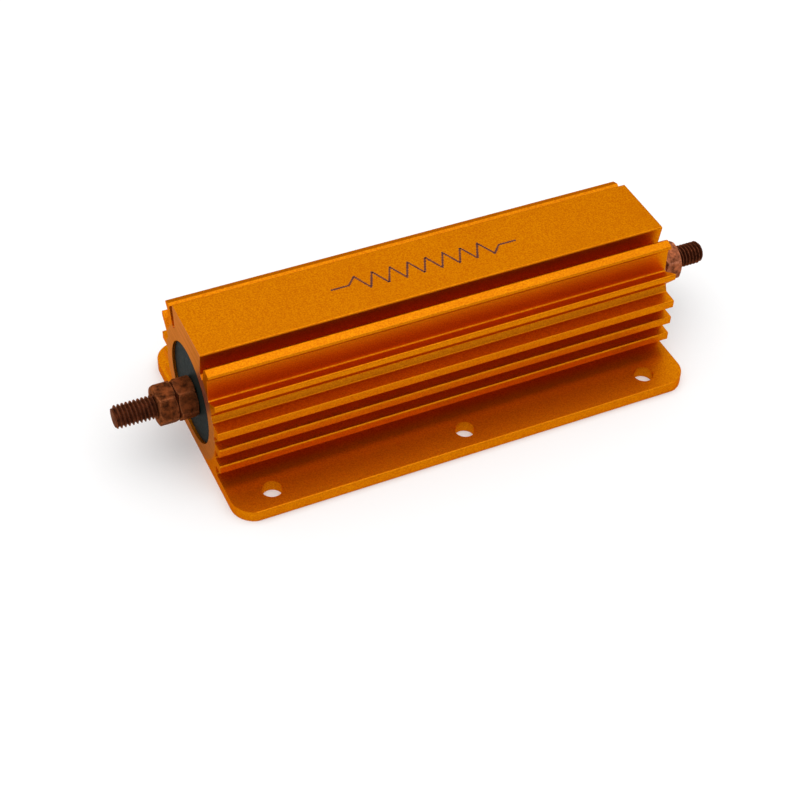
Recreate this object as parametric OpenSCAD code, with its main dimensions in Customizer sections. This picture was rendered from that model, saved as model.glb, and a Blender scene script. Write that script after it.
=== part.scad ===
// Aluminium housed power resistor.
// A wire wound element is cemented into the bore of a finned, extruded housing
// that screws down to a chassis. A threaded stud stands out of each end.
// X runs along the housing, Y across its flanges and Z up. The origin is the
// middle of the mounting face, and every size is in millimetres.

/* [Housing] */
// Length of the housing, cut from the extruded bar
housing_l = 100; // [70:1:160]
// Height from the mounting face to the top of the land
housing_h = 29; // [28.5:0.1:32]
// Width over both flanges
flange_w = 52; // [50:0.5:60]
// Thickness of a flange
flange_t = 2.5; // [2:0.1:3]
// Radius of the flange corners, seen from above
corner_r = 5; // [1:0.5:8]
// Radius on the outer edges of the section
edge_r = 0.3; // [0.1:0.05:0.4]
// Radius in the inner corners of the section
fillet_r = 0.4; // [0.1:0.05:0.6]

/* [Mounting holes] */
// Diameter of a flange hole
hole_d = 4.2; // [3:0.1:5.5]
// Distance between the end holes, along the housing
hole_span_x = 83; // [50:0.5:88]
// Distance between the rows of holes, across the housing
hole_span_y = 42.5; // [41:0.5:44]

/* [Bore and shell] */
// Diameter of the bore that holds the element
bore_d = 21; // [19:0.5:21.5]
// Height of the bore's axis above the mounting face
bore_z = 12.7; // [12.4:0.1:13]
// Thickness of the round shell over the bore
shell_t = 2.7; // [2.2:0.1:3]

/* [Land] */
// Width of the flat land on top
land_w = 15.8; // [14:0.1:16]
// Width of the land where it leaves the shell
land_neck_w = 13; // [11:0.1:14]

/* [Lips] */
// Distance from the middle to a lip's inner face, at the shell
lip_foot_y = 8.2; // [8:0.1:9]
// Distance from the middle to a lip's inner face, at its crown
lip_inner_y = 9.7; // [9.4:0.1:10.2]
// Distance from the middle to a lip's outer wall
lip_wall_y = 11.1; // [10.8:0.1:11.4]
// Distance from the middle to the nose that overhangs the outer wall
lip_nose_y = 12; // [11.6:0.1:12.4]
// Height of a lip's crown above the mounting face
lip_top_z = 27.5; // [26.5:0.1:28]

/* [Fins] */
// Width over the tips of the straight fins
fin_span = 32; // [30:0.5:36]
// Number of straight fins on each side
fin_count = 3; // [1:1:3]
// Height of the lowest fin's middle above the mounting face
fin_low_z = 5.95; // [5.5:0.05:6.2]
// Distance between the middles of neighbouring fins
fin_pitch = 4.4; // [3.8:0.1:4.5]
// Thickness of a fin at its tip
fin_tip_t = 1.9; // [1.2:0.1:2.1]
// Thickness of a fin at its root
fin_root_t = 2.2; // [1.6:0.1:2.4]
// Angle of the slanted fin's lower root, seen from the bore
slant_low_a = 21; // [19:0.5:23]
// Angle of the slanted fin's upper root, seen from the bore
slant_high_a = 32.6; // [30:0.1:34]
// Width over the tips of the slanted fins
slant_span = 30.2; // [28:0.1:32]
// Height of a slanted fin's tip above the mounting face
slant_tip_z = 21.4; // [20.5:0.1:22]

/* [Resistance element] */
// Distance that the element sits off the middle of the housing, along it
element_x = 0.35; // [-1.5:0.05:1.5]
// Distance that the element sank below the bore's axis as the cement set
element_drop = 1; // [0:0.1:1.5]
// Diameter of the ceramic core
core_d = 12; // [10:0.5:13]
// Diameter of the hole through the core
core_hole_d = 4; // [2:0.5:6]
// Diameter of the resistance wire
wire_d = 0.9; // [0.5:0.1:1]
// Distance between neighbouring turns of the wire
wire_pitch = 1.8; // [1.4:0.1:3]
// Thickness of the enamel that beds the wire
enamel_t = 0.55; // [0.5:0.05:0.7]
// Thickness of the wall of an end cap
cap_t = 1; // [0.6:0.1:1.2]
// Depth to which a cap grips the core
cap_grip = 4; // [2:0.5:6]

/* [Terminals] */
// Outer diameter of the stud's thread
thread_d = 4.8; // [4:0.1:6]
// Reach of a stud beyond the end of the housing, were the element centred
stud_out = 16.1; // [14:0.1:25]
// Distance of the left nut seat beyond the end of the housing
seat_out_left = -0.6; // [-1:0.1:1.5]
// Distance of the right nut seat beyond the end of the housing
seat_out_right = 2; // [0.5:0.1:2.5]
// Diameter of the plain shank inside the seal
shank_d = 6.5; // [6.2:0.1:7]
// Diameter of the stud's head, inside the end cap
head_d = 9; // [8:0.5:9.5]
// Thickness of the stud's head
head_t = 1.5; // [1:0.1:2]
// Width of a nut across its flats
nut_af = 7.8; // [7.8:0.1:10]
// Thickness of a nut
nut_t = 4; // [2.5:0.1:5]
// Distance of the left seal's face beyond the end of the housing
seal_out_left = -0.6; // [-1:0.1:-0.6]
// Distance of the right seal's face beyond the end of the housing
seal_out_right = 0.4; // [-1:0.1:0.5]

/* [Hidden] */
$fn = 96;
round_fn = 24;
cut = 1;

left = -1;
right = 1;

anodised = [0.86, 0.50, 0.06];
ceramic = [0.93, 0.91, 0.85];
enamel = [0.20, 0.32, 0.24];
cement = [0.72, 0.70, 0.66];
plated = [0.74, 0.74, 0.72];
compound = [0.10, 0.13, 0.13];
oxidised = [0.42, 0.24, 0.16];

shell_r = bore_d / 2 + shell_t;
block_w = 2 * shell_r + 0.2;
land_edge_z = housing_h - 4.3;
crown_y = lip_inner_y + 0.6;
crown_drop = 0.4;
nose_drop = 0.6;
nose_t = 0.6;
nose_under = 0.9;
slant_tip_t = 1.4;
slant_tip_lean = 0.1;

// Distances along a terminal, out from the middle of the element
core_end = housing_l / 2 - 8;
head_end = core_end + head_t;
cap_end = head_end + cap_t + 0.5;
tip = housing_l / 2 + stud_out;
tip_chamfer = 0.5;
// Inside the nuts the two threads share a wall at their pitch diameter
engaged_d = thread_d - 0.36;
winding_end = core_end - cap_grip;
turns = floor((2 * winding_end - 3 * wire_d) / wire_pitch);

cap_r = core_d / 2 + cap_t;
wire_r = core_d / 2 + enamel_t;
nut_corner_r = nut_af / 2 / cos(30);
nut_face_r = 0.97 * nut_af / 2;
nut_chamfer = (nut_corner_r - nut_face_r) * tan(30);

// Turn of each nut about its stud: at 0 a flat faces up, and at 30 a corner does
seat_turn_left = -5;
nut_turn_left = -8;
seat_turn_right = 24;
nut_turn_right = 30;

// A point of the section on a circle about the bore, a degrees above level
function round_bore(a, r = shell_r) = [r * cos(a), bore_z + r * sin(a)];

// Distances from the middle of the element to a point beyond one end of the housing
function beyond(side, out) = housing_l / 2 + out - side * element_x;
function seal_face(side) = beyond(side, side == left ? seal_out_left : seal_out_right);
function seat(side) = beyond(side, side == left ? seat_out_left : seat_out_right);

// ---- The section of the housing: Y runs to the right and Z up ----

module both_sides() {
    children();
    mirror([1, 0]) children();
}

// Flat land with undercut sides, which carries the marking
module land_section() {
    polygon([
        [0, housing_h],
        [land_w / 2, housing_h],
        [(land_w + land_neck_w) / 4, land_edge_z],
        [land_neck_w / 2, bore_z + shell_r / 2],
        [0, bore_z + shell_r / 2]
    ]);
}

// Lip that flanks the land: it leans outwards to a crown with a small nose
module lip_section() {
    polygon([
        [lip_foot_y, bore_z],
        [lip_foot_y, bore_z + sqrt(pow(shell_r, 2) - pow(lip_foot_y, 2)) - cut],
        [lip_inner_y, lip_top_z - crown_drop],
        [crown_y, lip_top_z],
        [lip_nose_y, lip_top_z - nose_drop],
        [lip_nose_y, lip_top_z - nose_drop - nose_t],
        [lip_wall_y, lip_top_z - nose_drop - nose_t - nose_under],
        [lip_wall_y, bore_z]
    ]);
}

// Fin that springs from the shoulder of the shell and leans upwards
module slanted_fin_section() {
    tip_y = slant_span / 2;
    polygon([
        round_bore(slant_low_a, shell_r - cut),
        round_bore(slant_low_a),
        [tip_y, slant_tip_z - slant_tip_t / 2],
        [tip_y - slant_tip_lean, slant_tip_z + slant_tip_t / 2],
        round_bore(slant_high_a),
        round_bore(slant_high_a, shell_r - cut)
    ]);
}

// Straight fin, slightly thicker at its root
module straight_fin_section() {
    tip_y = fin_span / 2;
    root_y = block_w / 2 - cut;
    polygon([
        [root_y, -fin_root_t / 2],
        [tip_y, -fin_tip_t / 2],
        [tip_y, fin_tip_t / 2],
        [root_y, fin_root_t / 2]
    ]);
}

// Upper half of the shell round the bore, on the block that carries it
module shell_section() {
    translate([0, bore_z])
        intersection() {
            circle(r = shell_r);
            translate([-shell_r, 0]) square([2 * shell_r, shell_r]);
        }
    translate([-block_w / 2, 0]) square([block_w, bore_z]);
}

module sharp_section() {
    shell_section();
    translate([-flange_w / 2, 0]) square([flange_w, flange_t]);
    both_sides() {
        land_section();
        lip_section();
        slanted_fin_section();
        for (i = [0 : fin_count - 1])
            translate([0, fin_low_z + i * fin_pitch]) straight_fin_section();
    }
}

// Rounds the outer edges of a section and fills its inner corners
module die_rounded() {
    offset(r = edge_r, $fn = round_fn)
        offset(r = -edge_r - fillet_r, $fn = round_fn)
            offset(r = fillet_r, $fn = round_fn)
                children();
}

// Outline of the flanges from above
module flange_plan() {
    square([housing_l, flange_w - 2 * corner_r], center = true);
    square([housing_l - 2 * corner_r, flange_w], center = true);
    for (x = [left, right], y = [left, right])
        translate([x * (housing_l / 2 - corner_r), y * (flange_w / 2 - corner_r)])
            circle(r = corner_r);
}

module housing() {
    color(anodised)
        difference() {
            intersection() {
                rotate([90, 0, 90])
                    translate([0, 0, -housing_l / 2])
                        linear_extrude(housing_l) die_rounded() sharp_section();
                translate([0, 0, -cut]) linear_extrude(housing_h + 2 * cut) flange_plan();
            }
            translate([-housing_l / 2 - cut, 0, bore_z])
                rotate([0, 90, 0]) cylinder(h = housing_l + 2 * cut, d = bore_d);
            for (x = [-hole_span_x / 2, 0, hole_span_x / 2], y = [left, right])
                translate([x, y * hole_span_y / 2, -cut])
                    cylinder(h = flange_t + 2 * cut, d = hole_d);
        }
}

// ---- The element: each piece is made along Z, from the middle of the core ----

// Lays a piece along the element, with its Z axis out of the left or right end
module out_of(side) {
    translate([element_x, 0, bore_z - element_drop]) rotate([0, side * 90, 0]) children();
}

// Lays a piece along the bore, in the same way
module bore_out_of(side) {
    translate([element_x, 0, bore_z]) rotate([0, side * 90, 0]) children();
}

module ceramic_core() {
    color(ceramic)
        out_of(right)
            difference() {
                cylinder(h = 2 * core_end, d = core_d, center = true);
                cylinder(h = 2 * core_end + 2 * cut, d = core_hole_d, center = true);
            }
}

// The turns of wire, half sunk in the enamel that holds them on the core
module resistance_wire() {
    color(enamel)
        out_of(right)
            rotate_extrude() {
                translate([core_d / 2, -winding_end]) square([enamel_t, 2 * winding_end]);
                for (i = [0 : turns - 1])
                    translate([wire_r, (i - (turns - 1) / 2) * wire_pitch])
                        intersection() {
                            circle(d = wire_d, $fn = 32);
                            translate([-enamel_t / 2, -wire_d])
                                square([wire_d + enamel_t, 2 * wire_d]);
                        }
            }
}

// Cement between the element and the bore
module cement_fill() {
    color(cement)
        difference() {
            bore_out_of(right) cylinder(h = 2 * cap_end, d = bore_d, center = true);
            out_of(right) cylinder(h = 2 * cap_end + 2 * cut, r = cap_r, center = true);
        }
}

// Pressed cup that grips the end of the core and holds the head of the stud
module end_cap(side) {
    color(plated)
        out_of(side)
            rotate_extrude()
                polygon([
                    [core_d / 2, winding_end],
                    [cap_r, winding_end],
                    [cap_r, cap_end],
                    [shank_d / 2, cap_end],
                    [shank_d / 2, head_end],
                    [core_d / 2, head_end]
                ]);
}

// Moulding compound that closes the end of the bore round the stud
module end_seal(side) {
    seal_l = seal_face(side) - cap_end;
    color(compound)
        difference() {
            bore_out_of(side) translate([0, 0, cap_end]) cylinder(h = seal_l, d = bore_d);
            out_of(side)
                translate([0, 0, cap_end - cut]) cylinder(h = seal_l + 2 * cut, d = shank_d);
        }
}

// Turned stud: head, plain shank up to the nut seat, and threaded end
module terminal_stud(side) {
    color(oxidised)
        out_of(side)
            rotate_extrude()
                polygon([
                    [0, core_end],
                    [head_d / 2, core_end],
                    [head_d / 2, head_end],
                    [shank_d / 2, head_end],
                    [shank_d / 2, seat(side)],
                    [engaged_d / 2, seat(side)],
                    [engaged_d / 2, seat(side) + 2 * nut_t],
                    [thread_d / 2, seat(side) + 2 * nut_t],
                    [thread_d / 2, tip - tip_chamfer],
                    [thread_d / 2 - tip_chamfer, tip],
                    [0, tip]
                ]);
}

// Hexagon nut with the corners of both faces turned off
module hex_nut() {
    difference() {
        intersection() {
            rotate(30) cylinder(h = nut_t, r = nut_corner_r, $fn = 6);
            rotate_extrude()
                polygon([
                    [0, 0],
                    [nut_face_r, 0],
                    [nut_corner_r, nut_chamfer],
                    [nut_corner_r, nut_t - nut_chamfer],
                    [nut_face_r, nut_t],
                    [0, nut_t]
                ]);
        }
        translate([0, 0, -cut]) cylinder(h = nut_t + 2 * cut, d = engaged_d);
    }
}

// Nut done up against the shoulder of the stud
module seat_nut(side, turn) {
    color(oxidised) out_of(side) translate([0, 0, seat(side)]) rotate(turn) hex_nut();
}

// Outer nut, which clamps the lug of the wire
module terminal_nut(side, turn) {
    color(oxidised) out_of(side) translate([0, 0, seat(side) + nut_t]) rotate(turn) hex_nut();
}

housing();
ceramic_core();
resistance_wire();
cement_fill();
end_cap(left);  // end_cap_left
end_cap(right);  // end_cap_right
end_seal(left);  // end_seal_left
end_seal(right);  // end_seal_right
terminal_stud(left);  // terminal_stud_left
terminal_stud(right);  // terminal_stud_right
seat_nut(left, seat_turn_left);  // seat_nut_left
seat_nut(right, seat_turn_right);  // seat_nut_right
terminal_nut(left, nut_turn_left);  // terminal_nut_left
terminal_nut(right, nut_turn_right);  // terminal_nut_right
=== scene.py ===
# Aluminium housed power resistor: looks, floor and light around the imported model.

import math

import bmesh
import bpy
from mathutils import Matrix, Vector


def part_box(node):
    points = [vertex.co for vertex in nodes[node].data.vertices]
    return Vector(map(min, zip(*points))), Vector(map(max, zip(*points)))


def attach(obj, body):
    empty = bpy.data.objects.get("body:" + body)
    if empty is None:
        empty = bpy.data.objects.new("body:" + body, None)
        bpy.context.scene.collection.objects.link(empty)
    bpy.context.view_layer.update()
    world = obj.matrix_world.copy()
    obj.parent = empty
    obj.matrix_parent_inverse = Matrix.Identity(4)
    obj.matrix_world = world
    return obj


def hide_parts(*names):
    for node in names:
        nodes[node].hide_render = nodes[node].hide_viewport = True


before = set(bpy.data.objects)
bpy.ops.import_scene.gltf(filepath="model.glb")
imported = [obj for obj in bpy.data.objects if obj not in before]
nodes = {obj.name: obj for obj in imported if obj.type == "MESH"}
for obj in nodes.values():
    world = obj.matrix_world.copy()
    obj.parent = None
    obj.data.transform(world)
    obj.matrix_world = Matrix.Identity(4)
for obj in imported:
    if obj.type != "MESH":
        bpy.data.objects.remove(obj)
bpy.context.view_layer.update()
scene = bpy.context.scene
mm = 0.001


# ---- Camera ---------------------------------------------------------------
# A long lens looks down on the land from the near left, a little turned
# about its own axis.

view_azimuth = math.radians(-26.31)
view_elevation = math.radians(44.06)
view_roll = math.radians(2.34)
view_distance = 361.13 * mm
view_target = Vector((-4.283, 0, -6.647)) * mm
lens_length = 76.8
sensor_width = 36

ahead = Vector((
    -math.sin(view_azimuth) * math.cos(view_elevation),
    math.cos(view_azimuth) * math.cos(view_elevation),
    -math.sin(view_elevation),
))
level = Vector((math.cos(view_azimuth), math.sin(view_azimuth), 0))
upright = level.cross(ahead)
camera_x = math.cos(view_roll) * level + math.sin(view_roll) * upright
camera_y = math.cos(view_roll) * upright - math.sin(view_roll) * level
camera_data = bpy.data.cameras.new("camera")
camera_data.sensor_width = sensor_width
camera_data.lens = lens_length
camera_data.clip_start = 0.01
camera_data.clip_end = 20
camera = bpy.data.objects.new("camera", camera_data)
camera_turn = Matrix((camera_x, camera_y, -ahead)).transposed().to_4x4()
camera.matrix_world = Matrix.Translation(view_target - view_distance * ahead) @ camera_turn
scene.collection.objects.link(camera)
scene.camera = camera


# ---- Housing --------------------------------------------------------------
# One length of extruded aluminium, sawn off, bead blasted and anodised gold
# orange. The saw's lines still show on its cut ends, which took less dye
# round the bore and under the land.

housing_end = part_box("housing")[1].x
bore_height = 12.7 * mm
saw_depth = 0.03 * mm
saw_angle = math.radians(12)
bare_ring_r = 13.4 * mm
bare_ring_fade = 0.6 * mm
bare_block_half = 7.6 * mm
bare_block_fade = 0.5 * mm
grain_size = 0.3 * mm
grain_depth = 0.03 * mm
gold_deep = (0.54, 0.13, 0.002, 1)
gold_light = (0.74, 0.25, 0.003, 1)
gold_sheen = (0.95, 0.5, 0.12, 1)
bare_dark = (0.37, 0.135, 0.085, 1)
bare_light = (0.56, 0.22, 0.145, 1)


def link(tree, source, target):
    """Joins one node's output to another's input, both given as sockets."""
    tree.links.new(source, target)


def add(tree, kind, inputs=None, **settings):
    """Adds a node, sets its properties, then sets or joins its inputs."""
    made = tree.nodes.new(kind)
    for name, value in settings.items():
        setattr(made, name, value)
    for key, value in (inputs or {}).items():
        socket = made.inputs[key]
        if isinstance(value, bpy.types.NodeSocket):
            link(tree, value, socket)
        else:
            socket.default_value = value
    return made


def maths(tree, operation, *values):
    """A Math node's output in a shader or geometry tree, from numbers or sockets."""
    made = add(tree, "ShaderNodeMath", dict(enumerate(values)), operation=operation)
    return made.outputs[0]


def blended(tree, share, first, second):
    """A colour between two others."""
    made = add(tree, "ShaderNodeMix", data_type="RGBA")
    for index, value in ((0, share), (6, first), (7, second)):
        if isinstance(value, bpy.types.NodeSocket):
            link(tree, value, made.inputs[index])
        else:
            made.inputs[index].default_value = value
    return made.outputs[2]


def ramp(tree, value, low, high, start=0.0, end=1.0):
    """Maps low..high to start..end, held at both ends."""
    return add(tree, "ShaderNodeMapRange", {
        "Value": value, "From Min": low, "From Max": high, "To Min": start, "To Max": end,
    }).outputs[0]


def group(name, inputs, outputs):
    """A shared shader group with named sockets, and its two end nodes."""
    tree = bpy.data.node_groups.new(name, "ShaderNodeTree")
    for label, kind, default in inputs:
        socket = tree.interface.new_socket(label, in_out="INPUT", socket_type=kind)
        if default is not None:
            socket.default_value = default
    for label, kind in outputs:
        tree.interface.new_socket(label, in_out="OUTPUT", socket_type=kind)
    return tree, tree.nodes.new("NodeGroupInput"), tree.nodes.new("NodeGroupOutput")


def finish(name, **settings):
    """A new material: its tree, its Principled node and its Object coordinates."""
    made = bpy.data.materials.new(name)
    made.use_nodes = True
    tree = made.node_tree
    shader = tree.nodes["Principled BSDF"]
    for key, value in settings.items():
        label = key.replace("_", " ").title().replace("Ior", "IOR")
        shader.inputs[label].default_value = value
    here = tree.nodes.new("ShaderNodeTexCoord").outputs["Object"]
    return made, tree, shader, here


def roughen(tree, shader, height, strength, depth):
    """Raises a material's surface by a height, through a Bump node."""
    relief = add(tree, "ShaderNodeBump", {
        "Height": height, "Strength": strength, "Distance": depth
    })
    link(tree, relief.outputs[0], shader.inputs["Normal"])


def coat(piece, material):
    """Gives a piece its one material."""
    piece.data.materials.clear()
    piece.data.materials.append(material)


# Blasted grain: small facets that lean this way and that, over faint lines
# that the die drew along the bar.
grain, grain_in, grain_out = group(
    "blasted_grain",
    [("Vector", "NodeSocketVector", None), ("Facet Size", "NodeSocketFloat", grain_size),
     ("Die Lines", "NodeSocketFloat", 0.3)],
    [("Facets", "NodeSocketFloat"), ("Cloud", "NodeSocketFloat"),
     ("Height", "NodeSocketFloat")],
)
facet_scale = maths(grain, "DIVIDE", 1.0, grain_in.outputs["Facet Size"])
facets = add(grain, "ShaderNodeTexVoronoi", {
    "Vector": grain_in.outputs["Vector"], "Scale": facet_scale
}, feature="SMOOTH_F1")
facets.inputs["Smoothness"].default_value = 0.6
specks = add(grain, "ShaderNodeTexNoise", {
    "Vector": grain_in.outputs["Vector"], "Scale": facet_scale, "Detail": 2.0
})
die_mapping = add(grain, "ShaderNodeMapping", {"Vector": grain_in.outputs["Vector"]})
die_mapping.inputs["Scale"].default_value = (0.01, 1.0, 1.0)
die_lines = add(grain, "ShaderNodeTexNoise", {
    "Vector": die_mapping.outputs[0], "Scale": 2200.0, "Detail": 3.0
})
cloud = add(grain, "ShaderNodeTexNoise", {
    "Vector": grain_in.outputs["Vector"], "Scale": 60.0, "Detail": 3.0
})
die_height = maths(grain, "MULTIPLY", die_lines.outputs[0], grain_in.outputs["Die Lines"])
speck_height = maths(grain, "MULTIPLY", specks.outputs[0], 0.8)
facet_height = maths(grain, "ADD", facets.outputs["Distance"], speck_height)
grain_height = maths(grain, "ADD", facet_height, die_height)
link(grain, specks.outputs[0], grain_out.inputs["Facets"])
link(grain, cloud.outputs[0], grain_out.inputs["Cloud"])
link(grain, grain_height, grain_out.inputs["Height"])


def grained(tree, here, facet_size=grain_size, die_lines=0.3):
    """The blasted grain in a material, with its own facet size and die lines."""
    return add(tree, "ShaderNodeGroup", {
        "Vector": here, "Facet Size": facet_size, "Die Lines": die_lines
    }, node_tree=grain).outputs


anodised, tree, shader, here = finish(
    "anodised_aluminium", metallic=1.0, specular_tint=gold_sheen)
surface = grained(tree, here)
gold = blended(tree, ramp(tree, surface["Facets"], 0.3, 0.7), gold_deep, gold_light)
gold = blended(tree, ramp(tree, surface["Cloud"], 0.35, 0.65, 0.0, 0.25), gold, gold_deep)

# the sawn ends, bare within a ring round the bore's axis and under the land
place = add(tree, "ShaderNodeSeparateXYZ", {"Vector": here}).outputs
sawn = maths(tree, "GREATER_THAN", maths(tree, "ABSOLUTE", place["X"]), housing_end - saw_depth)
across = maths(tree, "ABSOLUTE", place["Y"])
above = maths(tree, "SUBTRACT", place["Z"], bore_height)
from_axis = maths(tree, "SQRT", maths(
    tree, "ADD", maths(tree, "POWER", across, 2.0), maths(tree, "POWER", above, 2.0)))
ring = ramp(tree, from_axis, bare_ring_r, bare_ring_r + bare_ring_fade, 1.0, 0.0)
block = maths(
    tree, "MULTIPLY",
    ramp(tree, across, bare_block_half, bare_block_half + bare_block_fade, 1.0, 0.0),
    maths(tree, "GREATER_THAN", above, 0.0))
bare = maths(tree, "MULTIPLY", sawn, maths(tree, "MAXIMUM", ring, block))
saw_mapping = add(tree, "ShaderNodeMapping", {"Vector": here})
saw_mapping.inputs["Rotation"].default_value = (saw_angle, 0, 0)
saw_mapping.inputs["Scale"].default_value = (1.0, 0.03, 1.0)
saw_lines = add(tree, "ShaderNodeTexNoise", {
    "Vector": saw_mapping.outputs[0], "Scale": 2500.0, "Detail": 2.0
}).outputs[0]
bare_metal = blended(tree, ramp(tree, saw_lines, 0.3, 0.7), bare_dark, bare_light)
link(tree, blended(tree, bare, gold, bare_metal), shader.inputs["Base Color"])
link(tree, ramp(tree, surface["Facets"], 0.3, 0.7, 0.42, 0.34), shader.inputs["Roughness"])
blasted_height = maths(tree, "MULTIPLY", surface["Height"], maths(tree, "SUBTRACT", 1.0, sawn))
sawn_height = maths(tree, "MULTIPLY", saw_lines, sawn)
roughen(tree, shader, maths(tree, "ADD", blasted_height, sawn_height), 0.55, grain_depth)
coat(nodes["housing"], anodised)


# ---- Ceramic core ---------------------------------------------------------
# A pressed steatite tube, fired and left unglazed, that carries the winding.

ceramic_dark = (0.80, 0.77, 0.70, 1)
ceramic_light = (0.88, 0.86, 0.80, 1)

ceramic, tree, shader, here = finish("fired_ceramic", roughness=0.75)
surface = grained(tree, here, 0.5 * mm, 0.0)
link(tree, blended(tree, surface["Cloud"], ceramic_dark, ceramic_light),
     shader.inputs["Base Color"])
roughen(tree, shader, surface["Height"], 0.3, 0.03 * mm)
coat(nodes["ceramic_core"], ceramic)


# ---- Winding --------------------------------------------------------------
# Resistance wire wound on the core, then bedded in fired green enamel.

enamel_dark = (0.030, 0.075, 0.045, 1)
enamel_light = (0.055, 0.115, 0.070, 1)

enamel, tree, shader, here = finish("fired_enamel", roughness=0.28, coat_weight=0.4)
surface = grained(tree, here, 0.6 * mm, 0.0)
link(tree, blended(tree, surface["Cloud"], enamel_dark, enamel_light),
     shader.inputs["Base Color"])
roughen(tree, shader, surface["Cloud"], 0.4, 0.1 * mm)
coat(nodes["resistance_wire"], enamel)


# ---- End caps -------------------------------------------------------------
# Steel caps, pressed, nickel plated and pushed onto the core's ends.

nickel_dark = (0.50, 0.48, 0.44, 1)
nickel_light = (0.66, 0.64, 0.60, 1)

plated, tree, shader, here = finish("nickel_plate", metallic=1.0)
surface = grained(tree, here, 0.4 * mm, 0.2)
link(tree, blended(tree, surface["Cloud"], nickel_dark, nickel_light),
     shader.inputs["Base Color"])
link(tree, ramp(tree, surface["Facets"], 0.3, 0.7, 0.25, 0.4), shader.inputs["Roughness"])
for side in ("left", "right"):
    coat(nodes["end_cap_" + side], plated)


# ---- Cement and end seals -------------------------------------------------
# Cement is poured round the element and sets. The ends are then closed with
# dull black moulding compound, levelled off near the cut ends.

cement_dark = (0.36, 0.34, 0.30, 1)
cement_light = (0.56, 0.54, 0.49, 1)
compound_dark = (0.007, 0.012, 0.011, 1)
compound_light = (0.012, 0.019, 0.016, 1)

cement, tree, shader, here = finish("set_cement", roughness=0.9)
surface = grained(tree, here, 0.4 * mm, 0.0)
link(tree, blended(tree, surface["Facets"], cement_dark, cement_light),
     shader.inputs["Base Color"])
roughen(tree, shader, surface["Height"], 0.5, 0.1 * mm)
coat(nodes["cement_fill"], cement)

compound, tree, shader, here = finish("moulding_compound", specular_ior_level=0.03)
surface = grained(tree, here, 0.7 * mm, 0.0)
link(tree, blended(tree, surface["Cloud"], compound_dark, compound_light),
     shader.inputs["Base Color"])
link(tree, ramp(tree, surface["Facets"], 0.3, 0.7, 0.5, 0.62), shader.inputs["Roughness"])
roughen(tree, shader, surface["Height"], 0.25, 0.06 * mm)
for side in ("left", "right"):
    coat(nodes["end_seal_" + side], compound)


# ---- Terminal studs -------------------------------------------------------
# Turned studs with a rolled M5 thread, copper plated and gone brown. The
# head sits in the end cap, and the plain shank passes through the seal.

outward = {"left": -1, "right": 1}
thread_crest_r = 2.4 * mm
thread_root_r = 1.91 * mm
thread_pitch = 0.8 * mm
thread_overlap = 0.4 * mm
# shares of a pitch: flank 5/16, crest flat 2/16, flank 5/16, root flat 4/16
flank_share = 5 / 16
crest_share = 2 / 16
stud_chamfer = 0.5 * mm
shank_r = 3.25 * mm
shank_chamfer = 0.3 * mm
head_thick = 1.5 * mm
head_chamfer = 0.3 * mm
round_steps = 72
weld_gap = 0.002 * mm
stud_dark = (0.026, 0.006, 0.003, 1)
stud_warm = (0.13, 0.032, 0.012, 1)
stud_rubbed = (0.20, 0.060, 0.026, 1)
brown_sheen = (0.9, 0.5, 0.3, 1)

# Tarnish: plating that browned unevenly, rubbed brighter along worn edges
tarnish, tarnish_in, tarnish_out = group(
    "brown_tarnish",
    [("Vector", "NodeSocketVector", None), ("Wear", "NodeSocketFloat", 0.0),
     ("Dark", "NodeSocketColor", stud_dark), ("Warm", "NodeSocketColor", stud_warm),
     ("Rubbed", "NodeSocketColor", stud_rubbed)],
    [("Color", "NodeSocketColor"), ("Roughness", "NodeSocketFloat"),
     ("Height", "NodeSocketFloat")],
)
patches = add(tarnish, "ShaderNodeTexNoise", {
    "Vector": tarnish_in.outputs["Vector"], "Scale": 700.0, "Detail": 4.0, "Roughness": 0.65
})
pits = add(tarnish, "ShaderNodeTexNoise", {
    "Vector": tarnish_in.outputs["Vector"], "Scale": 3200.0, "Detail": 3.0
})
patch_share = ramp(tarnish, patches.outputs[0], 0.36, 0.64)
brown = blended(tarnish, patch_share, tarnish_in.outputs["Dark"], tarnish_in.outputs["Warm"])
rubbing = maths(tarnish, "MULTIPLY", tarnish_in.outputs["Wear"],
                ramp(tarnish, pits.outputs[0], 0.35, 0.6))
link(tarnish, blended(tarnish, rubbing, brown, tarnish_in.outputs["Rubbed"]),
     tarnish_out.inputs["Color"])
link(tarnish, ramp(tarnish, patches.outputs[0], 0.35, 0.65, 0.62, 0.45),
     tarnish_out.inputs["Roughness"])
patch_height = maths(tarnish, "MULTIPLY", patches.outputs[0], 0.6)
link(tarnish, maths(tarnish, "ADD", pits.outputs[0], patch_height),
     tarnish_out.inputs["Height"])


def tarnished(name, dark, warm, rubbed, metallic):
    """A material of browned plating with its own three colours."""
    material, tree, shader, here = finish(
        name, metallic=metallic, specular_tint=brown_sheen)
    worn = add(tree, "ShaderNodeAttribute", attribute_name="wear")
    brown = add(tree, "ShaderNodeGroup", {
        "Vector": here, "Wear": worn.outputs["Fac"],
        "Dark": dark, "Warm": warm, "Rubbed": rubbed,
    }, node_tree=tarnish)
    link(tree, brown.outputs["Color"], shader.inputs["Base Color"])
    link(tree, brown.outputs["Roughness"], shader.inputs["Roughness"])
    roughen(tree, shader, brown.outputs["Height"], 0.5, 0.04 * mm)
    return material


stud_brown = tarnished("browned_stud", stud_dark, stud_warm, stud_rubbed, 0.85)


def sized_tree(name, sizes):
    """A Geometry Nodes tree with named inputs, and its two end nodes."""
    tree = bpy.data.node_groups.new(name, "GeometryNodeTree")
    for label, kind, default in sizes:
        socket = tree.interface.new_socket(label, in_out="INPUT", socket_type=kind)
        if default is not None:
            socket.default_value = default
    tree.interface.new_socket("Geometry", in_out="OUTPUT", socket_type="NodeSocketGeometry")
    return tree, tree.nodes.new("NodeGroupInput").outputs, tree.nodes.new("NodeGroupOutput")


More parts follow.
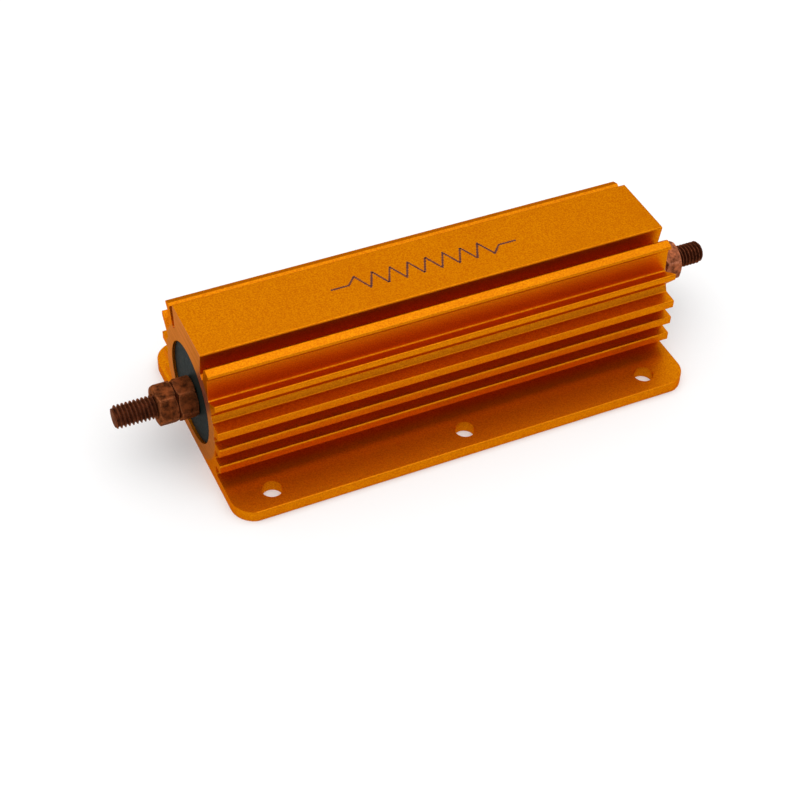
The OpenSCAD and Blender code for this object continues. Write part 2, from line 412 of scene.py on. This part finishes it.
def thread_tree():
    """Geometry Nodes: a rolled thread as one helical sheet along Z.

    Four rows of points make a pitch: foot, crest, crest and foot again. Each
    point's height grows with its turn, so the rows form the helix."""
    tree, sizes, result = sized_tree("rolled_thread", [
        ("Length", "NodeSocketFloat", 16 * mm), ("Pitch", "NodeSocketFloat", thread_pitch),
        ("Crest Radius", "NodeSocketFloat", thread_crest_r),
        ("Root Radius", "NodeSocketFloat", thread_root_r),
        ("Chamfer", "NodeSocketFloat", stud_chamfer), ("Steps", "NodeSocketInt", round_steps),
        ("Material", "NodeSocketMaterial", None),
    ])
    whole_turns = maths(tree, "CEIL", maths(tree, "DIVIDE", sizes["Length"], sizes["Pitch"]))
    turns = maths(tree, "ADD", whole_turns, 2.0)
    rows = maths(tree, "ADD", maths(tree, "MULTIPLY", turns, 4.0), 1.0)
    columns = maths(tree, "ADD", sizes["Steps"], 1.0)
    sheet = add(tree, "GeometryNodeMeshGrid", {
        "Size X": 1.0, "Size Y": 1.0, "Vertices X": rows, "Vertices Y": columns
    })
    # a grid's points run down each column of Y first
    number = tree.nodes.new("GeometryNodeInputIndex").outputs[0]
    row = maths(tree, "FLOOR", maths(tree, "DIVIDE", number, columns))
    column = maths(tree, "SUBTRACT", number, maths(tree, "MULTIPLY", row, columns))
    share = maths(tree, "DIVIDE", column, sizes["Steps"])
    turn = maths(tree, "FLOOR", maths(tree, "DIVIDE", row, 4.0))
    step = maths(tree, "SUBTRACT", row, maths(tree, "MULTIPLY", turn, 4.0))
    # the four rows stand at a foot, both sides of the crest flat, and a foot
    crest_row = maths(tree, "COMPARE", step, 1.5, 0.6)
    past_crest = maths(tree, "GREATER_THAN", step, 1.5)
    offset = maths(tree, "SUBTRACT", maths(tree, "MULTIPLY", step, flank_share),
                   maths(tree, "MULTIPLY", past_crest, flank_share - crest_share))
    turned_by = maths(tree, "ADD", maths(tree, "ADD", turn, offset), share)
    along = maths(tree, "MULTIPLY", sizes["Pitch"], maths(tree, "SUBTRACT", turned_by, 1.0))
    held = add(tree, "ShaderNodeClamp", {
        "Value": along, "Min": 0.0, "Max": sizes["Length"]
    }).outputs[0]
    inside = maths(tree, "COMPARE", along, held, 1e-6)
    depth = maths(tree, "SUBTRACT", sizes["Crest Radius"], sizes["Root Radius"])
    on_crest = maths(tree, "MULTIPLY", crest_row, inside)
    radius = maths(tree, "ADD", sizes["Root Radius"], maths(tree, "MULTIPLY", depth, on_crest))
    to_tip = maths(tree, "SUBTRACT", sizes["Length"], held)
    tip_radius = maths(tree, "SUBTRACT", sizes["Crest Radius"], sizes["Chamfer"])
    cone = maths(tree, "ADD", tip_radius, to_tip)
    radius = maths(tree, "MINIMUM", radius, cone)
    angle = maths(tree, "MULTIPLY", share, math.tau)
    point = add(tree, "ShaderNodeCombineXYZ", {
        "X": maths(tree, "MULTIPLY", radius, maths(tree, "COSINE", angle)),
        "Y": maths(tree, "MULTIPLY", radius, maths(tree, "SINE", angle)),
        "Z": held,
    })
    helix = add(tree, "GeometryNodeSetPosition", {
        "Geometry": sheet.outputs["Mesh"], "Position": point.outputs[0]
    })
    wear = add(tree, "GeometryNodeStoreNamedAttribute", {
        "Geometry": helix.outputs[0], "Name": "wear", "Value": on_crest
    }, data_type="FLOAT", domain="POINT")
    closed = add(tree, "GeometryNodeMergeByDistance", {
        "Geometry": wear.outputs[0], "Distance": weld_gap
    })
    real = add(tree, "GeometryNodeRealizeInstances", {"Geometry": closed.outputs[0]})
    coated = add(tree, "GeometryNodeSetMaterial", {
        "Geometry": real.outputs[0], "Material": sizes["Material"]
    })
    link(tree, coated.outputs[0], result.inputs[0])
    return tree


def grown(name, tree, **sizes):
    """Runs a Geometry Nodes tree with the sizes given, and keeps its plain mesh."""
    carrier = bpy.data.objects.new(name, bpy.data.meshes.new(name + "_seed"))
    scene.collection.objects.link(carrier)
    modifier = carrier.modifiers.new("nodes", "NODES")
    modifier.node_group = tree
    sockets = {
        item.name: item.identifier
        for item in tree.interface.items_tree if item.in_out == "INPUT"
    }
    for label, value in sizes.items():
        modifier[sockets[label.replace("_", " ").title()]] = value
    evaluated = carrier.evaluated_get(bpy.context.evaluated_depsgraph_get())
    mesh = bpy.data.meshes.new_from_object(evaluated)
    carrier.modifiers.remove(modifier)
    bpy.data.objects.remove(carrier)
    return mesh


def tidy_mesh(shape, mesh, crease=30):
    """Closes a bmesh, turns its faces outwards and writes it with smooth faces."""
    bmesh.ops.remove_doubles(shape, verts=shape.verts, dist=weld_gap)
    bmesh.ops.dissolve_degenerate(shape, edges=shape.edges, dist=weld_gap / 2)
    bmesh.ops.holes_fill(shape, edges=[e for e in shape.edges if e.is_boundary])
    bmesh.ops.recalc_face_normals(shape, faces=shape.faces)
    shape.to_mesh(mesh)
    shape.free()
    mesh.shade_smooth()
    mesh.set_sharp_from_angle(angle=math.radians(crease))


def turned(shape, profile, wear, steps):
    """Turns a profile of (radius, distance) points about Z in a bmesh."""
    marks = shape.verts.layers.float.get("wear") or shape.verts.layers.float.new("wear")
    rings = []
    for (radius, along), rubbed in zip(profile, wear):
        ring = []
        for i in range(steps):
            angle = math.tau * i / steps
            vert = shape.verts.new(
                (radius * math.cos(angle), radius * math.sin(angle), along))
            vert[marks] = rubbed
            ring.append(vert)
        rings.append(ring)
    for low, high in zip(rings, rings[1:]):
        for i in range(steps):
            j = (i + 1) % steps
            shape.faces.new((low[i], low[j], high[j], high[i]))
    shape.faces.new(list(reversed(rings[0])))
    shape.faces.new(rings[-1])


def out_along(side, height):
    """Turns Z to point out of the left or right end, at the stud's height."""
    sign = outward[side]
    return Matrix.Translation((0, 0, height)) @ Matrix((
        (0, 0, sign, 0), (0, sign, 0, 0), (-1, 0, 0, 0), (0, 0, 0, 1)
    ))


def show(name, mesh, node):
    """Puts a finished mesh in the scene in place of its CAD node."""
    piece = bpy.data.objects.new(name, mesh)
    scene.collection.objects.link(piece)
    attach(piece, "root")
    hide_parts(node)
    return piece


rolled_thread = thread_tree()
axis_height = {}
nut_seat = {}
for side, sign in outward.items():
    low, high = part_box("terminal_stud_" + side)
    axis_height[side] = (low.z + high.z) / 2
    head_r = (high.z - low.z) / 2
    inner, tip = sorted((sign * low.x, sign * high.x))
    seat_low, seat_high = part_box("seat_nut_" + side)
    seat = nut_seat[side] = min(sign * seat_low.x, sign * seat_high.x)

    thread = grown("thread_" + side, rolled_thread, length=tip - seat + thread_overlap,
                   material=stud_brown)
    thread.transform(Matrix.Translation((0, 0, seat - thread_overlap)))
    shape = bmesh.new()
    shape.from_mesh(thread)
    tidy_mesh(shape, thread)

    head_end = inner + head_thick
    shape = bmesh.new()
    turned(shape, [
        (head_r - head_chamfer, inner), (head_r, inner + head_chamfer),
        (head_r, head_end - head_chamfer), (head_r - head_chamfer, head_end),
        (shank_r, head_end), (shank_r, seat - shank_chamfer),
        (shank_r - shank_chamfer, seat),
    ], [0.5, 1, 1, 0.5, 0, 0.5, 0.5], round_steps)
    body = bpy.data.meshes.new("stud_body")
    tidy_mesh(shape, body)

    shape = bmesh.new()
    shape.from_mesh(body)
    shape.from_mesh(thread)
    stud = bpy.data.meshes.new("terminal_stud_" + side + "_turned")
    shape.to_mesh(stud)
    shape.free()
    stud.transform(out_along(side, axis_height[side]))
    stud.materials.clear()
    stud.materials.append(stud_brown)
    show("threaded_stud_" + side, stud, "terminal_stud_" + side)


# ---- Nuts -----------------------------------------------------------------
# Four hexagon nuts, pressed, tapped and copper plated, gone brown. The seat
# nut is run up to the seal, and the terminal nut is locked against it.

nut_flats = 7.8 * mm
nut_thick = 4 * mm
nut_bore_r = 2.15 * mm
nut_sink_r = 2.65 * mm
nut_sink_depth = 0.5 * mm
nut_edge = 0.10 * mm
nut_lip = 0.03 * mm
nut_corner_share = 0.985
nut_face_share = 0.96
nut_chamfer = math.radians(30)
nut_steps = 120
# degrees off a flat's middle, from where the corner starts to where it ends
corner_start, corner_end = 24, 30
nut_crease = 25
nut_finish = {
    "left": tarnished("browned_nut", (0.030, 0.007, 0.002, 1), (0.24, 0.060, 0.016, 1),
                      (0.30, 0.095, 0.035, 1), 0.9),
    "right": tarnished("coppery_nut", (0.10, 0.028, 0.012, 1), (0.46, 0.135, 0.055, 1),
                       (0.52, 0.19, 0.10, 1), 0.9),
}


def nut_mesh(name):
    """A hexagon nut along Z with a flat up, chamfered at both ends."""
    half = nut_flats / 2
    corner_r = nut_corner_share * half / math.cos(math.radians(corner_end))
    face_r = nut_face_share * half
    shape = bmesh.new()
    marks = shape.verts.layers.float.new("wear")
    columns = []
    for i in range(nut_steps):
        degrees = 360 * i / nut_steps
        off_flat = (degrees + 30) % 60 - 30
        outer_r = min(half / math.cos(math.radians(off_flat)), corner_r)
        corner = max(0.0, (abs(off_flat) - corner_start) / (corner_end - corner_start))
        drop = max(0.0, (outer_r - face_r) * math.tan(nut_chamfer))
        # each row: radius, height and wear, from the countersink to half way up
        rows = [
            (nut_sink_r, 0.0, 0.4), (face_r - nut_edge, 0.0, 0.3), (face_r, nut_lip, 0.9),
            (outer_r - 0.5 * nut_edge, drop, 0.8), (outer_r, drop + nut_edge, 0.9),
            (outer_r, drop + 2.5 * nut_edge, 0.25 + 0.75 * corner),
            (outer_r, nut_thick / 2, corner),
        ]
        rows += [(radius, nut_thick - z, wear) for radius, z, wear in reversed(rows[:-1])]
        rows += [(nut_bore_r, nut_thick - nut_sink_depth, 0.0),
                 (nut_bore_r, nut_sink_depth, 0.0)]
        angle = math.radians(degrees)
        column = []
        for radius, z, wear in rows:
            vert = shape.verts.new((radius * math.cos(angle), radius * math.sin(angle), z))
            vert[marks] = wear
            column.append(vert)
        columns.append(column)
    for i in range(nut_steps):
        this, after = columns[i], columns[(i + 1) % nut_steps]
        for j in range(len(this)):
            k = (j + 1) % len(this)
            shape.faces.new((this[j], after[j], after[k], this[k]))
    mesh = bpy.data.meshes.new(name)
    bmesh.ops.recalc_face_normals(shape, faces=shape.faces)
    shape.to_mesh(mesh)
    shape.free()
    mesh.shade_smooth()
    mesh.set_sharp_from_angle(angle=math.radians(nut_crease))
    return mesh


# degrees that each nut is turned about +X, away from a flat that faces up
nut_turns = {
    ("seat_nut", "left"): 5, ("terminal_nut", "left"): 8,
    ("seat_nut", "right"): 24, ("terminal_nut", "right"): 30,
}
for (kind, side), turn in nut_turns.items():
    start = nut_seat[side] + (nut_thick if kind == "terminal_nut" else 0)
    nut = nut_mesh(kind + "_" + side + "_pressed")
    place = out_along(side, axis_height[side]) @ Matrix.Translation((0, 0, start))
    nut.transform(place @ Matrix.Rotation(math.radians(outward[side] * turn), 4, "Z"))
    nut.materials.append(nut_finish[side])
    show("hex_" + kind + "_" + side, nut, kind + "_" + side)


# ---- Marking --------------------------------------------------------------
# A resistor symbol, pecked into the land dot by dot with a carbide pin. Each dot is
# a flat disc laid just above the land and coloured dark: partly the burnt mark the pin
# left, partly painted shade standing in for the dent, which is not modelled.

mark_half_length = 20 * mm
mark_half_height = 2.1 * mm
mark_lead = 3.6 * mm
mark_teeth = 16
dot_gap = 0.5 * mm
dot_radius = 0.27 * mm
dot_sides = 10
dot_lift = 0.004 * mm
dot_smallest = (0.85, 0.85, 1.0)
dot_largest = (1.12, 1.12, 1.0)
dot_seed = 7
land_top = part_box("housing")[1].z
# the dots' colours: the pin's burnt mark together with painted shade for the dents
peck_burn_and_shade_dark = (0.05, 0.012, 0.008, 1)
peck_burn_and_shade_light = (0.20, 0.05, 0.03, 1)

burnt_and_shaded_dots, tree, shader, here = finish("pecked_dots_burnt_and_shaded", metallic=0.6)
surface = grained(tree, here)
link(tree, blended(tree, surface["Facets"], peck_burn_and_shade_dark, peck_burn_and_shade_light),
     shader.inputs["Base Color"])
link(tree, ramp(tree, surface["Facets"], 0.3, 0.7, 0.5, 0.7), shader.inputs["Roughness"])


def peck_tree():
    """Geometry Nodes: a dot at every step along a zigzag with a lead at each end."""
    tree, sizes, result = sized_tree("pecked_symbol", [
        ("Half Length", "NodeSocketFloat", mark_half_length),
        ("Half Height", "NodeSocketFloat", mark_half_height),
        ("Lead", "NodeSocketFloat", mark_lead), ("Teeth", "NodeSocketInt", mark_teeth),
        ("Dot Gap", "NodeSocketFloat", dot_gap), ("Dot Radius", "NodeSocketFloat", dot_radius),
        ("Height", "NodeSocketFloat", land_top), ("Material", "NodeSocketMaterial", None),
    ])
    # points: lead end, lead foot, one per tooth, lead foot, lead end
    count = maths(tree, "ADD", sizes["Teeth"], 4.0)
    path = add(tree, "GeometryNodeMeshLine", {"Count": count})
    number = tree.nodes.new("GeometryNodeInputIndex").outputs[0]
    foot = maths(tree, "SUBTRACT", sizes["Half Length"], sizes["Lead"])
    stride = maths(tree, "DIVIDE", maths(tree, "MULTIPLY", foot, 2.0),
                   maths(tree, "ADD", sizes["Teeth"], 1.0))
    strides = maths(tree, "MULTIPLY", stride, maths(tree, "SUBTRACT", number, 1.0))
    along = maths(tree, "SUBTRACT", strides, foot)
    # the first and last points stand a whole lead away from their foot
    first = maths(tree, "LESS_THAN", number, 0.5)
    last = maths(tree, "GREATER_THAN", number, maths(tree, "SUBTRACT", count, 1.5))
    reach = maths(tree, "SUBTRACT", sizes["Lead"], stride)
    ends = maths(tree, "SUBTRACT", last, first)
    along = maths(tree, "ADD", along, maths(tree, "MULTIPLY", reach, ends))
    after_lead = maths(tree, "GREATER_THAN", number, 1.5)
    before_lead = maths(tree, "LESS_THAN", number, maths(tree, "SUBTRACT", count, 2.5))
    on_tooth = maths(tree, "MULTIPLY", after_lead, before_lead)
    odd = maths(tree, "MODULO", number, 2.0)
    swing = maths(tree, "SUBTRACT", 1.0, maths(tree, "MULTIPLY", 2.0, odd))
    sway = maths(tree, "MULTIPLY", maths(tree, "MULTIPLY", on_tooth, swing),
                 sizes["Half Height"])
    corner = add(tree, "ShaderNodeCombineXYZ", {"X": along, "Y": sway, "Z": sizes["Height"]})
    bent = add(tree, "GeometryNodeSetPosition", {
        "Geometry": path.outputs[0], "Position": corner.outputs[0]
    })
    line = add(tree, "GeometryNodeMeshToCurve", {"Mesh": bent.outputs[0]})
    dots = add(tree, "GeometryNodeResampleCurve", {
        "Curve": line.outputs[0], "Length": sizes["Dot Gap"]
    }, mode="LENGTH")
    disc = add(tree, "GeometryNodeMeshCircle", {
        "Vertices": dot_sides, "Radius": sizes["Dot Radius"]
    }, fill_type="TRIANGLE_FAN")
    wobble = add(tree, "FunctionNodeRandomValue", {"Seed": dot_seed}, data_type="FLOAT_VECTOR")
    wobble.inputs[0].default_value = dot_smallest
    wobble.inputs[1].default_value = dot_largest
    pecks = add(tree, "GeometryNodeInstanceOnPoints", {
        "Points": dots.outputs[0], "Instance": disc.outputs[0], "Scale": wobble.outputs[0]
    })
    real = add(tree, "GeometryNodeRealizeInstances", {"Geometry": pecks.outputs[0]})
    lifted = add(tree, "GeometryNodeSetPosition", {
        "Geometry": real.outputs[0], "Offset": (0, 0, dot_lift)
    })
    coated = add(tree, "GeometryNodeSetMaterial", {
        "Geometry": lifted.outputs[0], "Material": sizes["Material"]
    })
    link(tree, coated.outputs[0], result.inputs[0])
    return tree


symbol = grown("resistor_symbol", peck_tree(), material=burnt_and_shaded_dots)
piece = bpy.data.objects.new("resistor_symbol", symbol)
scene.collection.objects.link(piece)
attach(piece, "root")


# ---- Floor and light ------------------------------------------------------
# A pale seamless floor in a plain room, lit softly from all round and most
# from above.

floor_radius = 3.0
floor_drop = 0.02 * mm
floor_pale = (0.8, 0.8, 0.8, 1)
floor_glow = 0.17
white = (1, 1, 1, 1)

floor_mesh = bpy.data.meshes.new("floor")
shape = bmesh.new()
bmesh.ops.create_circle(shape, cap_ends=True, segments=64, radius=floor_radius)
shape.to_mesh(floor_mesh)
shape.free()
floor = bpy.data.objects.new("floor", floor_mesh)
floor.location.z = -floor_drop
scene.collection.objects.link(floor)
pale = bpy.data.materials.new("pale_floor")
pale.use_nodes = True
tree = pale.node_tree
shader = tree.nodes["Principled BSDF"]
shader.inputs["Base Color"].default_value = floor_pale
shader.inputs["Roughness"].default_value = 0.9
shader.inputs["Specular IOR Level"].default_value = 0.0
seen = tree.nodes.new("ShaderNodeLightPath")
mirrored = maths(tree, "MAXIMUM", seen.outputs["Is Glossy Ray"],
                 seen.outputs["Is Transmission Ray"])
glow = maths(tree, "MAXIMUM", seen.outputs["Is Camera Ray"], mirrored)
shader.inputs["Emission Color"].default_value = white
link(tree, maths(tree, "MULTIPLY", glow, floor_glow), shader.inputs["Emission Strength"])
floor_mesh.materials.append(pale)

# the room's light grows from the horizon to a broad soft light overhead
world = bpy.data.worlds.new("room")
world.use_nodes = True
scene.world = world
room = world.node_tree
sky = room.nodes["Background"]
sky.inputs["Color"].default_value = white
direction = add(room, "ShaderNodeSeparateXYZ", {
    "Vector": room.nodes.new("ShaderNodeTexCoord").outputs["Generated"]
})
low_sky = ramp(room, direction.outputs["Z"], 0.1, 0.7, 0.35, 1.1)
high_sky = ramp(room, direction.outputs["Z"], 0.7, 1.0, 0.0, 0.7)
link(room, maths(room, "ADD", low_sky, high_sky), sky.inputs["Strength"])

scene.view_settings.view_transform = "Standard"
